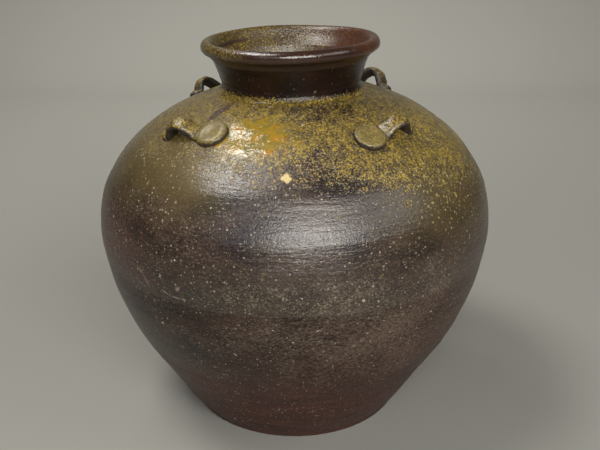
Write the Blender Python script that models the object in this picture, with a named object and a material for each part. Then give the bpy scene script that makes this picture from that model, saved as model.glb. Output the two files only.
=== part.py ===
"""Stoneware tea storage jar with four strap lugs on the shoulder, in metres, +Z up.

The jar is made as a potter makes one this size: a slab base, a lower wall, a belly ring and a shoulder
ring thrown apart and luted one on the next, a neck and a rolled rim on top, and four lugs pressed on last.
The origin is the centre of the face that the jar stands on. The lugs lie near the X and Y axes.
"""

import math

import bmesh
import bpy
from mathutils import Matrix, Vector

# Body
BODY_RADIUS = 0.150
BODY_HEIGHT = 0.253
WALL = 0.0085
LUTING_GAP = 0.0003
LUTING_BEVEL = 0.004

# Outer outline of the body, as shares of its height and of its radius, from the floor to the neck's foot.
BODY_OUTLINE_SHARES = (
    (0.000, 0.548), (0.050, 0.610), (0.145, 0.709), (0.290, 0.856), (0.430, 0.950), (0.520, 0.983),
    (0.608, 1.000), (0.715, 0.972), (0.786, 0.910), (0.857, 0.813), (0.928, 0.650), (0.972, 0.487),
    (1.000, 0.347),
)
# Where the body is widest, and where its rings are luted together, as shares of its height.
WIDEST_SHARE = 0.608
LOWER_SEAM_SHARE = 0.540
SHOULDER_SEAM_SHARE = 0.826

# Base slab
BASE_THICKNESS = 0.010
HEEL_ROUNDING = 0.0035

# Neck
NECK_FOOT_RADIUS = 0.0565
NECK_WAIST_RADIUS = 0.0518
NECK_WAIST_RISE = 0.0032
NECK_TOP_RADIUS = 0.0574
NECK_HEIGHT = 0.0228
NECK_WALL = 0.0072
FLARE_POWER = 1.15

# Rolled rim
RIM_RADIUS = 0.066
RIM_HEIGHT = 0.0142
RIM_ROLL_WIDTH = 0.0092
RIM_ROLL_DEPTH = 0.0088
RIM_THROAT_RADIUS = 0.0575
ROLL_START_DEGREES = -58
ROLL_END_DEGREES = 125

# Lugs
LUG_HALF_LENGTH = 0.030
STRAP_WIDTH = 0.0118
STRAP_THICKNESS = 0.0056
LUG_CLEARANCE = 0.0070
PAD_RADIUS = 0.0118
PAD_DEPTH = 0.0046
HEEL_RADIUS = 0.0068
HEEL_DEPTH = 0.0042
LUG_GAP = 0.0003

# The strap's arch from its heel to the edge of its thumb pad: place along the way, and rise.
ARCH_SHARES = (
    (0.07, 0.22), (0.14, 0.55), (0.23, 0.85), (0.36, 1.00), (0.52, 1.00), (0.67, 0.84), (0.80, 0.55),
    (0.93, 0.24),
)
# The parts of the heel's and the pad's circles that are drawn, in degrees from the lug's own line.
HEEL_ARC_DEGREES = (24, 90)
PAD_ARC_DEGREES = (56, 160)
# Depth left at a lug's very ends, as a share of the pad's.
END_DEPTH_SHARE = 0.45

# Name, direction in degrees from +X, side of the thumb pad seen from outside, tilt in degrees.
LUGS = (
    ("front_right_lug", 358, -1, 1),
    ("back_right_lug", 99.5, 1, -4),
    ("back_left_lug", 180, -1, 0),
    ("front_left_lug", 272.1, 1, 14),
)
# Each lug was rolled and pressed on by hand: its ring, as a share of the body's radius, its length and
# its arch's height.
LUG_SHARES = {
    "front_right_lug": (0.643, 0.88, 1.00),
    "back_right_lug": (0.620, 1.00, 1.30),
    "back_left_lug": (0.620, 0.87, 1.00),
    "front_left_lug": (0.630, 0.925, 1.00),
}

# Fineness of the surfaces
SEGMENTS = 60
WALL_STEPS = 7
SHOULDER_STEPS = 9
CUTTER_STEPS = 24
CURVE_STEPS = 5
ROLL_STEPS = 9
HEEL_STEPS = 4
PAD_STEPS = 6
LUG_SIDES = 12
SEARCH_STEPS = 40
SHARP_DEGREES = 40
TINY = BODY_RADIUS / 1e5

# Finishes: linear colour and roughness.
FINISHES = {
    "iron_red_clay": ((0.075, 0.036, 0.026), 0.62),
    "dark_iron_slip": ((0.052, 0.037, 0.029), 0.38),
    "olive_ash_glaze": ((0.165, 0.120, 0.045), 0.32),
    "plum_brown_slip": ((0.040, 0.023, 0.019), 0.34),
}


def finished(mesh, name, finish, stand):
    """The mesh as an object of this name, in a fired finish of its own, held by the stand."""
    colour, roughness = FINISHES[finish]
    made = bpy.data.materials.new(f"{name}_{finish}")
    made.use_nodes = True
    shader = made.node_tree.nodes["Principled BSDF"]
    shader.inputs["Base Color"].default_value = (*colour, 1.0)
    shader.inputs["Roughness"].default_value = roughness
    shader.inputs["Metallic"].default_value = 0.0
    mesh.shade_smooth()
    mesh.set_sharp_from_angle(angle=math.radians(SHARP_DEGREES))
    mesh.materials.append(made)
    piece = bpy.data.objects.new(name, mesh)
    piece.parent = stand
    bpy.context.scene.collection.objects.link(piece)
    return piece


def body_radius(height):
    """Outer radius of the body at a height, on a smooth curve through the outline's points."""
    points = [(h * BODY_HEIGHT, r * BODY_RADIUS) for h, r in BODY_OUTLINE_SHARES]
    last = len(points) - 1
    k = max(i for i in range(last) if points[i][0] <= height or i == 0)

    def slope(i):
        low, high = points[max(i - 1, 0)], points[min(i + 1, last)]
        return (high[1] - low[1]) / (high[0] - low[0])

    (h0, r0), (h1, r1) = points[k], points[k + 1]
    step = h1 - h0
    t = (height - h0) / step
    return (
        r0 * (1 + 2 * t) * (1 - t) ** 2
        + slope(k) * step * t * (1 - t) ** 2
        + r1 * t * t * (3 - 2 * t)
        + slope(k + 1) * step * t * t * (t - 1)
    )


def body_point(height, depth):
    """(radius, height) of the point that lies this deep under the body's outer surface."""
    slope = (body_radius(height + TINY) - body_radius(height - TINY)) / (2 * TINY)
    length = math.hypot(1, slope)
    return body_radius(height) - depth / length, height + depth * slope / length


def shoulder_height(radius):
    """Height at which the shoulder's outer surface has this radius."""
    low, high = BODY_HEIGHT * WIDEST_SHARE, BODY_HEIGHT
    for _ in range(SEARCH_STEPS):
        middle = (low + high) / 2
        low, high = (middle, high) if body_radius(middle) > radius else (low, middle)
    return (low + high) / 2


def spaced(start, end, count):
    """count values from start to end, both included."""
    return [start + (end - start) * i / (count - 1) for i in range(count)]


def turned(name, outline):
    """A closed turned mesh. The outline runs up the outer side and down the inner one."""
    bm = bmesh.new()
    verts = [bm.verts.new((r, 0, h)) for r, h in outline]
    edges = [bm.edges.new((a, b)) for a, b in zip(verts, verts[1:])]
    if outline[0][0] > 0:
        edges.append(bm.edges.new((verts[-1], verts[0])))
    bmesh.ops.spin(
        bm, geom=verts + edges, cent=(0, 0, 0), axis=(0, 0, 1),
        angle=math.tau, steps=SEGMENTS, use_merge=True,
    )
    bmesh.ops.remove_doubles(bm, verts=bm.verts, dist=TINY)
    bmesh.ops.recalc_face_normals(bm, faces=bm.faces)
    mesh = bpy.data.meshes.new(name)
    bm.to_mesh(mesh)
    bm.free()
    return mesh


def base_slab(stand):
    """The disc that the jar stands on, with a rounded heel."""
    foot = body_radius(HEEL_ROUNDING) - HEEL_ROUNDING
    heel = [
        (foot + HEEL_ROUNDING * math.sin(a), HEEL_ROUNDING * (1 - math.cos(a)))
        for a in spaced(0, math.pi / 2, CURVE_STEPS)
    ]
    rim = (body_radius(BASE_THICKNESS), BASE_THICKNESS)
    outline = [(0, 0), *heel, rim, (0, BASE_THICKNESS)]
    return finished(turned("base_slab", outline), "base_slab", "iron_red_clay", stand)


def lower_wall(stand):
    """The first wall, which stands flat on the slab and ends in a bevelled luting seat."""
    foot = BASE_THICKNESS + LUTING_GAP
    seam = BODY_HEIGHT * LOWER_SEAM_SHARE
    outer = [(body_radius(h), h) for h in spaced(foot, seam, WALL_STEPS)]
    inner = [body_point(h, WALL) for h in spaced(seam - LUTING_BEVEL, foot + WALL, WALL_STEPS)]
    corner = (body_point(foot, WALL)[0], foot)
    outline = [*outer, *inner, corner]
    return finished(turned("lower_wall", outline), "lower_wall", "iron_red_clay", stand)


def luted_ring(name, low, high, steps, seat, finish, stand):
    """A ring of the body whose foot sits in the bevelled seat below it. seat is the drop of its own top."""
    outer = [(body_radius(h), h) for h in spaced(low, high, steps)]
    inner = [body_point(h, WALL) for h in spaced(high - seat, low - LUTING_BEVEL, steps)]
    return finished(turned(name, outer + inner), name, finish, stand)


def neck(stand):
    """The collar on the shoulder ring's mouth, drawn in above its foot and flared to the rim."""
    seat = shoulder_height(NECK_FOOT_RADIUS)
    inner_radius, inner_height = body_point(seat, WALL)
    foot = seat + LUTING_GAP
    waist = BODY_HEIGHT + NECK_WAIST_RISE
    top = BODY_HEIGHT + NECK_HEIGHT
    fillet = [
        (
            NECK_WAIST_RADIUS + (NECK_FOOT_RADIUS - NECK_WAIST_RADIUS) * (1 - math.sin(a)),
            foot + (waist - foot) * (1 - math.cos(a)),
        )
        for a in spaced(0, math.pi / 2, CURVE_STEPS)
    ]
    flare = [
        (
            NECK_WAIST_RADIUS + (NECK_TOP_RADIUS - NECK_WAIST_RADIUS) * t ** FLARE_POWER,
            waist + (top - waist) * t,
        )
        for t in spaced(0, 1, CURVE_STEPS)
    ]
    bore = [(r - NECK_WALL, h) for r, h in reversed(flare)]
    outline = [*fillet[:-1], *flare, *bore, (inner_radius, inner_height + LUTING_GAP)]
    return finished(turned("neck", outline), "neck", "plum_brown_slip", stand)


def rolled_rim(stand):
    """The everted lip, an oval roll on a flared throat."""
    foot = BODY_HEIGHT + NECK_HEIGHT + LUTING_GAP
    top = foot + RIM_HEIGHT
    middle = (RIM_RADIUS - RIM_ROLL_WIDTH / 2, top - RIM_ROLL_DEPTH / 2)
    roll = [
        (
            middle[0] + RIM_ROLL_WIDTH / 2 * math.cos(math.radians(a)),
            middle[1] + RIM_ROLL_DEPTH / 2 * math.sin(math.radians(a)),
        )
        for a in spaced(ROLL_START_DEGREES, ROLL_END_DEGREES, ROLL_STEPS)
    ]
    throat = (RIM_THROAT_RADIUS, top - RIM_ROLL_DEPTH / 4)
    outline = [(NECK_TOP_RADIUS, foot), *roll, throat, (NECK_TOP_RADIUS - NECK_WALL, foot)]
    return finished(turned("rolled_rim", outline), "rolled_rim", "olive_ash_glaze", stand)


def shoulder_cutter():
    """The shoulder's outer surface grown by the lugs' gap, which trims each lug to its seat."""
    heights = spaced(BODY_HEIGHT * WIDEST_SHARE, shoulder_height(NECK_FOOT_RADIUS), CUTTER_STEPS)
    skin = [body_point(h, -LUG_GAP) for h in heights]
    mesh = turned("shoulder_cutter", [(0, skin[0][1]), *skin, (0, skin[-1][1])])
    cutter = bpy.data.objects.new("shoulder_cutter", mesh)
    cutter.hide_render = True
    cutter.display_type = "WIRE"
    bpy.context.scene.collection.objects.link(cutter)
    return cutter


def shoulder_seat(ring_radius, direction, tilt):
    """A lug's frame on the shoulder, x round the jar and z out of it, and how far z leans outwards."""
    radius, height = body_point(shoulder_height(ring_radius), 0)
    outer_radius, outer_height = body_point(height, -WALL)
    normal = Vector((outer_radius - radius, 0, outer_height - height)).normalized()
    round_jar = Vector((0, 1, 0))
    axes = Matrix((round_jar, normal.cross(round_jar), normal)).transposed().to_4x4()
    turn = Matrix.Rotation(math.radians(direction), 4, "Z")
    place = Matrix.Translation((radius, 0, height))
    return turn @ place @ axes @ Matrix.Rotation(math.radians(tilt), 4, "Z"), normal.x


def end_disc(middle, radius, depth, arc_degrees, count):
    """(along, level, half width, half depth) of the sections across a lug's rounded end."""
    start, end = arc_degrees
    return [
        (
            middle - radius * math.cos(math.radians(a)),
            0,
            radius * math.sin(math.radians(a)),
            depth * (END_DEPTH_SHARE + (1 - END_DEPTH_SHARE) * math.sin(math.radians(a))),
        )
        for a in spaced(start, end, count)
    ]


def lug_places(ring_radius, length_share, arch_share, lean_out):
    """(along, level, half width, half depth) of each section, from the heel over the arch to the pad."""
    half = LUG_HALF_LENGTH * length_share
    crest = LUG_CLEARANCE * arch_share + STRAP_THICKNESS / 2
    heel_middle = HEEL_RADIUS - half
    pad_middle = half - PAD_RADIUS
    way = pad_middle - PAD_RADIUS - heel_middle
    arch = [
        (heel_middle + way * along, crest * rise, STRAP_WIDTH / 2, STRAP_THICKNESS / 2)
        for along, rise in ARCH_SHARES
    ]
    heel = end_disc(heel_middle, HEEL_RADIUS, HEEL_DEPTH, HEEL_ARC_DEGREES, HEEL_STEPS)
    pad = end_disc(pad_middle, PAD_RADIUS, PAD_DEPTH, PAD_ARC_DEGREES, PAD_STEPS)
    curve = lean_out / (2 * ring_radius)
    return [
        (along, level - curve * along ** 2, wide, deep) for along, level, wide, deep in heel + arch + pad
    ]


def lug(name, direction, pad_side, tilt, cutter, stand):
    """A roll of clay arched over a cord's way, one end pressed to a round thumb pad, one to a small heel."""
    ring_share, length_share, arch_share = LUG_SHARES[name]
    ring_radius = BODY_RADIUS * ring_share
    frame, lean_out = shoulder_seat(ring_radius, direction, tilt)
    places = lug_places(ring_radius, length_share, arch_share, lean_out)
    last = len(places) - 1
    bm = bmesh.new()
    rings = []
    for k, (along, level, wide, deep) in enumerate(places):
        before, after = places[max(k - 1, 0)], places[min(k + 1, last)]
        climb = math.atan((after[1] - before[1]) / (after[0] - before[0])) * pad_side
        section = (
            Matrix.Translation((along * pad_side, 0, level))
            @ Matrix.Rotation(math.pi / 2 - climb, 4, "Y")
            @ Matrix.Diagonal((deep, wide, 1, 1))
        )
        circle = bmesh.ops.create_circle(bm, segments=LUG_SIDES, radius=1, matrix=section)
        rings.append(list({edge for vert in circle["verts"] for edge in vert.link_edges}))
    for a, b in zip(rings, rings[1:]):
        bmesh.ops.bridge_loops(bm, edges=a + b)
    bmesh.ops.contextual_create(bm, geom=rings[0])
    bmesh.ops.contextual_create(bm, geom=rings[-1])
    bmesh.ops.recalc_face_normals(bm, faces=bm.faces)
    mesh = bpy.data.meshes.new(name)
    bm.to_mesh(mesh)
    bm.free()
    piece = finished(mesh, name, "olive_ash_glaze", stand)
    piece.matrix_local = frame
    trim = piece.modifiers.new("trimmed_to_shoulder", "BOOLEAN")
    trim.operation = "DIFFERENCE"
    trim.solver = "EXACT"
    trim.object = cutter
    return piece


def main():
    for old in list(bpy.data.objects):
        bpy.data.objects.remove(old, do_unlink=True)
    stand = bpy.data.objects.new("jar_on_its_base", None)
    bpy.context.scene.collection.objects.link(stand)
    lower_seam = BODY_HEIGHT * LOWER_SEAM_SHARE
    shoulder_seam = BODY_HEIGHT * SHOULDER_SEAM_SHARE
    mouth = shoulder_height(NECK_FOOT_RADIUS)
    base_slab(stand)
    lower_wall(stand)
    luted_ring(
        "belly_ring", lower_seam + LUTING_GAP, shoulder_seam, WALL_STEPS, LUTING_BEVEL,
        "dark_iron_slip", stand,
    )
    luted_ring(
        "shoulder_ring", shoulder_seam + LUTING_GAP, mouth, SHOULDER_STEPS, 0, "olive_ash_glaze", stand,
    )
    neck(stand)
    rolled_rim(stand)
    cutter = shoulder_cutter()
    for name, direction, pad_side, tilt in LUGS:
        lug(name, direction, pad_side, tilt, cutter, stand)


main()
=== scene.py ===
"""Dresses the tea storage jar's CAD frame: a wood-fired stoneware jar with an ash-glazed shoulder.

Every turned piece is spun from its outline, gets the potter's rings and then settles as the real jar did in
the kiln: it leans a little. The four lugs are bridged from loops along a clay strap.
Patterns are worked out in millimetres, in a frame turned so that x runs to the photograph's right.
"""

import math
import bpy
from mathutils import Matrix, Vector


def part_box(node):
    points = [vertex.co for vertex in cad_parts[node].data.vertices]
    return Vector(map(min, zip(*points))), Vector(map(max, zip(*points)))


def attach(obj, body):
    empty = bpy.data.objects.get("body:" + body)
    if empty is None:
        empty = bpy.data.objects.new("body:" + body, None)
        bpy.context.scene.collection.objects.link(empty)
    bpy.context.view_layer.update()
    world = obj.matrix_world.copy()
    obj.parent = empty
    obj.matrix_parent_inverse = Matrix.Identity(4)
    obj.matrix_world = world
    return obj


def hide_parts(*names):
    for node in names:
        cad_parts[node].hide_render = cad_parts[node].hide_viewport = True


bl_info = {
    "name": "Tea storage jar",
    "version": (1, 0, 0),
    "blender": (4, 5, 0),
    "location": "3D View > Sidebar > Jar",
    "description": "Builds a lugged stoneware tea jar over its CAD frame, with its glazes and a plain stage",
    "category": "Object",
}

import bmesh
import bpy
from bpy.props import FloatProperty, FloatVectorProperty, PointerProperty
from mathutils import Matrix, Vector, noise

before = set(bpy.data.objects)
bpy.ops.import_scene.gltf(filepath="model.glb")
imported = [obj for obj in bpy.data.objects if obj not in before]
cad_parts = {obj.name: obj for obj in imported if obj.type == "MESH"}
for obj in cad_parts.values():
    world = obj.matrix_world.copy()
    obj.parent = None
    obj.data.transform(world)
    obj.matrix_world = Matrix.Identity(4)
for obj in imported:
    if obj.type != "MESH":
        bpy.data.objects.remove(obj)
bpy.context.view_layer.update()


def top_of(node):
    """Height of a CAD node's highest point."""
    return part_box(node)[1][2]


def reach_of(node):
    """Largest radius of a turned CAD node."""
    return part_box(node)[1][0]


# The jar's forms. They follow the CAD solids, but the fillet at the neck's foot is higher: 5.8 mm, not 3.2.
BODY_RADIUS = reach_of("belly_ring")
BODY_HEIGHT = 0.253
BASE_THICKNESS = top_of("base_slab")
LOWER_SEAM = top_of("lower_wall")
SHOULDER_SEAM = top_of("belly_ring")
NECK_FOOT = top_of("shoulder_ring")
RIM_FOOT = top_of("neck")
JAR_TOP = top_of("rolled_rim")
RIM_RADIUS = reach_of("rolled_rim")
BODY_OUTLINE_SHARES = (
    (0.000, 0.548), (0.050, 0.610), (0.145, 0.709), (0.290, 0.856), (0.430, 0.950), (0.520, 0.983),
    (0.608, 1.000), (0.715, 0.972), (0.786, 0.910), (0.857, 0.813), (0.928, 0.650), (0.972, 0.487),
    (1.000, 0.347),
)
WIDEST_SHARE = 0.608
SEAT_DROP = 0.004
HEEL_ROUNDING = 0.0035
NECK_FOOT_RADIUS = 0.0565
NECK_WAIST_RADIUS = 0.0518
NECK_WAIST_RISE = 0.0058
NECK_TOP_RADIUS = 0.0574
NECK_WALL = 0.0072
FLARE_POWER = 1.15

# The rim's outline from the neck's top, round the lip and down the throat, as (radius, height above
# the rim's foot), both as shares of the rim's radius.
RIM_OUTLINE_SHARES = (
    (0.870, 0.000), (0.902, 0.038), (0.932, 0.064), (0.964, 0.085), (0.991, 0.108), (1.000, 0.144),
    (0.991, 0.177), (0.967, 0.205), (0.932, 0.215), (0.900, 0.205), (0.877, 0.179), (0.858, 0.142),
    (0.832, 0.100), (0.797, 0.050), (0.761, 0.000),
)

# Lugs. Their straps arch as in the CAD, so that a cord's way stays open under each. The back right one's
# strap is a fifth thicker than its solid.
LUG_HALF_LENGTH = 0.030
STRAP_WIDTH = 0.0118
STRAP_THICKNESS = 0.0056
LUG_CLEARANCE = 0.0070
PAD_RADIUS = 0.0118
PAD_DEPTH = 0.0046
HEEL_RADIUS = 0.0068
HEEL_DEPTH = 0.0042
END_DEPTH_SHARE = 0.45
ARCH_SHARES = (
    (0.00, 0.00), (0.07, 0.22), (0.14, 0.55), (0.23, 0.85), (0.36, 1.00), (0.52, 1.00), (0.67, 0.84),
    (0.80, 0.55), (0.93, 0.24), (1.00, 0.08),
)
THUMB_DIMPLE = 0.0014
DIMPLE_FALL = 3.5

# Loops across the rounded ends: the arcs they cover in degrees, their step, and how soon they are full.
HEEL_ARC = (16, 84)
PAD_ARC = (40, 168)
END_STEP = math.radians(9)
END_FULLNESS = 1.25

# How the strap spreads into the pad: over what share of the pad's radius, and to what half width.
SPREAD_LENGTH = 0.5
SPREAD_WIDTH = 0.62

# Powers of the strap's section, 2 being an oval, what the flat pad adds, and the share of the half width
# past which the section has no thickness.
STRAP_POWER = 2.3
PAD_EXTRA_POWER = 1.7
SECTION_EDGE = 0.9999

# The crust on the lugs: lumps and crumbs per metre, the crumbs' height beside the lumps', the share of it
# that the pad gets, and from what share of the pad's radius and how steeply it grows to full.
LUMPS = 240
CRUMBS = 700
CRUMB_SHARE = 0.6
PAD_RELIEF = 0.25
CRUST_START = 0.8
CRUST_RISE = 1.6

# Name, direction in degrees from +X, side of the thumb pad seen from outside, tilt in degrees; ring as a
# share of the body's radius, length share, arch share, strap thickness share; noise seed.
LUGS = (
    ("front_right_lug", 358, -1, 1, 0.643, 0.88, 1.00, 1.0, 3.1),
    ("back_right_lug", 99.5, 1, -4, 0.620, 1.00, 1.30, 1.2, 7.7),
    ("back_left_lug", 180, -1, 0, 0.620, 0.87, 1.00, 1.0, 12.9),
    ("front_left_lug", 272.1, 1, 14, 0.630, 0.925, 1.00, 1.0, 21.3),
)

# Reach of the ridge over a seam, and the height over which the neck's rings fade in.
SEAM_REACH = 0.0035
SEAT_FADE = 0.004

# Where the jar starts to bend over, and over what height.
BEND_START = 0.09
BEND_LENGTH = 0.15

# Fineness of the turned meshes and of the lugs.
SEGMENTS = 192
ROW = 0.0016
INNER_ROW = 0.006
LUG_SIDES = 28
LUG_ROW = 0.0008

# Steps along the heel, the neck's fillet and its flare, and between two points of the rim's outline.
HEEL_STEP = math.radians(12)
FILLET_STEP = math.radians(8)
FLARE_STEP = 0.07
RIM_STEP = 0.25

# Points closer than this are one, a point no deeper than this is on the skin, the bend that stays a sharp
# edge, and halvings in a search.
WELD = 1e-6
SKIN_DEPTH = 1e-5
SHARP_ANGLE = math.radians(42)
SEARCH_STEPS = 40

# The photograph's view: the camera's azimuth, height of its eye above the horizon, and framing.
FRONT = math.radians(47)
RIGHT = Vector((math.cos(FRONT), math.sin(FRONT), 0))
CAMERA_ELEVATION = math.radians(21.5)
CAMERA_DISTANCE = 0.675
CAMERA_LENS = 50.8
AIM_HEIGHT = 0.14175
AIM_RIGHT = 0.004


def linear(code):
    """An sRGB hex colour as linear red, green and blue."""
    parts = [int(code[i:i + 2], 16) / 255 for i in (1, 3, 5)]
    return [p / 12.92 if p <= 0.04045 else ((p + 0.055) / 1.055) ** 2.4 for p in parts]


def colour(name, note, code):
    """A colour property with this sRGB default."""
    return FloatVectorProperty(
        name=name, description=note, default=linear(code), min=0, max=1, size=3, subtype="COLOR",
    )


def length(name, note, value):
    """A length property in metres."""
    return FloatProperty(name=name, description=note, default=value, min=0, unit="LENGTH")


class JarSizes(bpy.types.PropertyGroup):
    """Sizes a user would change."""
    wall: length("Wall", "Thickness of the body's wall", 0.0085)
    lean: FloatProperty(
        name="Lean", description="How far the jar's mouth leans to the photograph's left",
        default=math.radians(1.5), subtype="ANGLE",
    )
    ring_spacing: length("Ring spacing", "Distance between the potter's throwing rings", 0.0065)
    ring_relief: length("Ring relief", "Height of the throwing rings", 0.00016)
    dent_relief: length("Dent relief", "Depth of the broad unevenness of the wall", 0.0006)
    seam_ridge: length("Seam ridge", "Height of the ridge left over each luted joint", 0.0002)
    crust_relief: length("Crust relief", "Roughness of the ash crust on the lugs", 0.0007)


class JarColours(bpy.types.PropertyGroup):
    """Colours a user would change."""
    slip_dark: colour("Slip, dark", "Iron slip where it lies thick", "#1b110d")
    slip_brown: colour("Slip, brown", "Iron slip over most of the body", "#36271f")
    slip_red: colour("Slip, red", "Iron slip where it lies thin", "#3c211a")
    foot_clay: colour("Foot clay", "Bare clay by the foot", "#4e2c23")
    plum: colour("Neck slip", "Glossy plum slip on the neck", "#23120c")
    grit: colour("Grit", "Pale grains of feldspar in the clay", "#c9bda6")
    ash_olive: colour("Ash, olive", "Thin ash glaze", "#5f522d")
    ash_ochre: colour("Ash, ochre", "Grainy ash glaze", "#826d2a")
    ash_amber: colour("Ash, amber", "Ash glaze that has run to glass", "#8e7122")
    backdrop: colour("Backdrop", "Paper that the jar stands on", "#8f8e88")


def spaced(start, end, step):
    """Values from start to end, both included, no further apart than step."""
    count = max(1, math.ceil(abs(end - start) / step))
    return [start + (end - start) * i / count for i in range(count + 1)]


def smooth_curve(points, t):
    """The point at place t, counted in points, on a smooth curve through the points."""
    last = len(points) - 1
    k = min(int(t), last - 1)
    f = t - k
    p0, p1, p2, p3 = (points[min(max(k + i, 0), last)] for i in (-1, 0, 1, 2))
    return [
        b + f * (c - a) / 2 + f * f * (a - 5 * b / 2 + 2 * c - d / 2) + f ** 3 * (3 * (b - c) + d - a) / 2
        for a, b, c, d in zip(p0, p1, p2, p3)
    ]


def body_radius(height):
    """Outer radius of the body at a height, on a smooth curve through the outline's points."""
    points = [(h * BODY_HEIGHT, r * BODY_RADIUS) for h, r in BODY_OUTLINE_SHARES]
    last = len(points) - 1
    k = max(i for i in range(last) if points[i][0] <= height or i == 0)

    def slope(i):
        low, high = points[max(i - 1, 0)], points[min(i + 1, last)]
        return (high[1] - low[1]) / (high[0] - low[0])

    (h0, r0), (h1, r1) = points[k], points[k + 1]
    step = h1 - h0
    t = (height - h0) / step
    return (
        r0 * (1 + 2 * t) * (1 - t) ** 2
        + slope(k) * step * t * (1 - t) ** 2
        + r1 * t * t * (3 - 2 * t)
        + slope(k + 1) * step * t * t * (t - 1)
    )


def body_slope(height):
    """How fast the body widens with height."""
    probe = BODY_RADIUS / 1e4
    return (body_radius(height + probe) - body_radius(height - probe)) / (2 * probe)


def body_point(height, depth):
    """(radius, height) of the point that lies this deep under the body's outer surface."""
    slope = body_slope(height)
    size = math.hypot(1, slope)
    return body_radius(height) - depth / size, height + depth * slope / size


def shoulder_height(radius):
    """Height at which the shoulder's outer surface has this radius."""
    low, high = BODY_HEIGHT * WIDEST_SHARE, BODY_HEIGHT
    for _ in range(SEARCH_STEPS):
        middle = (low + high) / 2
        low, high = (middle, high) if body_radius(middle) > radius else (low, middle)
    return (low + high) / 2


def settled(co, sizes):
    """Where a point of the turned jar went in the kiln: from low on the belly up it bent to the left."""
    t = min(max((co.z - BEND_START) / BEND_LENGTH, 0), 1)
    lean = sizes.lean * t * t * (3 - 2 * t)
    shift = sizes.lean * (BEND_LENGTH * (t ** 3 - t ** 4 / 2) + max(co.z - BEND_START - BEND_LENGTH, 0))
    side = Vector((co.x, co.y, 0)).dot(RIGHT)
    return co - RIGHT * shift + Vector((0, 0, lean * side))


def throwing_relief(height, angle, sizes):
    """How proud the skin stands: wandering rings, broad dents, and a ridge over each luted seam."""
    east, north = math.cos(angle), math.sin(angle)
    rings = noise.noise((east * 0.4, north * 0.4, height / sizes.ring_spacing))
    fine = noise.noise((east * 0.5 + 9, north * 0.5, height * 2.6 / sizes.ring_spacing))
    dents = noise.noise((east * 1.3, north * 1.3, height * 11))
    relief = sizes.ring_relief * (rings + 0.5 * fine) + sizes.dent_relief * dents
    for seam in (LOWER_SEAM, SHOULDER_SEAM):
        relief += sizes.seam_ridge * math.exp(-(((height - seam) / SEAM_REACH) ** 2))
    return relief


def spun(name, outline, relief):
    """A turned mesh from a closed outline of (radius, height), with relief(co) added at every point."""
    sizes = bpy.context.scene.jar_sizes
    bm = bmesh.new()
    verts = [bm.verts.new((r, 0, h)) for r, h in outline]
    edges = [bm.edges.new((a, b)) for a, b in zip(verts, verts[1:])]
    if outline[0][0] > 0:
        edges.append(bm.edges.new((verts[-1], verts[0])))
    bmesh.ops.spin(
        bm, geom=verts + edges, cent=(0, 0, 0), axis=(0, 0, 1),
        angle=math.tau, steps=SEGMENTS, use_merge=True,
    )
    bmesh.ops.remove_doubles(bm, verts=bm.verts, dist=WELD)
    bmesh.ops.recalc_face_normals(bm, faces=bm.faces)
    for vert in bm.verts:
        vert.co = settled(vert.co + relief(vert.co), sizes)
    bm.normal_update()
    mesh = bpy.data.meshes.new(name)
    bm.to_mesh(mesh)
    bm.free()
    return mesh


def body_skin(co):
    """Relief of the body's outer skin at a point, nothing on its inner wall and seats."""
    sizes = bpy.context.scene.jar_sizes
    radius = math.hypot(co.x, co.y)
    if radius < body_radius(co.z) - SKIN_DEPTH or co.z < BASE_THICKNESS / 2:
        return Vector()
    slope = body_slope(co.z)
    out = Vector((co.x / radius, co.y / radius, -slope)).normalized()
    return out * throwing_relief(co.z, math.atan2(co.y, co.x), sizes)


def neck_skin(co):
    """Relief of the neck and the rim: finer rings than the body's, and a wavy lip."""
    sizes = bpy.context.scene.jar_sizes
    radius = math.hypot(co.x, co.y)
    east, north = co.x / radius, co.y / radius
    seated = min(max((co.z - NECK_FOOT) / SEAT_FADE, 0), 1)
    rings = noise.noise((east * 0.3, north * 0.3, co.z * 1.7 / sizes.ring_spacing))
    lip = noise.noise((east * 1.1 + 4, north * 1.1, 2))
    rise = max(co.z - RIM_FOOT, 0) / (JAR_TOP - RIM_FOOT)
    out = Vector((east, north, 0)) * sizes.ring_relief * rings * seated
    return out + Vector((0, 0, 1.2 * sizes.dent_relief * lip * rise))


def dressed(mesh, name, node, slot, finish, inside=None):
    """The mesh as a finished piece in a CAD node's place. Faces towards the axis get the inside."""
    mesh.shade_smooth()
    mesh.set_sharp_from_angle(angle=SHARP_ANGLE)
    mesh.materials.append(finish)
    if inside:
        mesh.materials.append(inside)
        for face in mesh.polygons:
            flat = Vector((face.center.x, face.center.y, 0))
            if face.normal.dot(flat) < 0 and flat.length > BODY_RADIUS / 20:
                face.material_index = 1
    piece = bpy.data.objects.new(name, mesh)
    bpy.context.scene.collection.objects.link(piece)
    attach(piece, "root")
    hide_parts(node)
    return piece


MATH = "ShaderNodeMath"
MIX = "ShaderNodeMix"
RANGE = "ShaderNodeMapRange"
NOISE = "ShaderNodeTexNoise"
CELLS = "ShaderNodeTexVoronoi"
PLACED = "ShaderNodeMapping"


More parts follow.
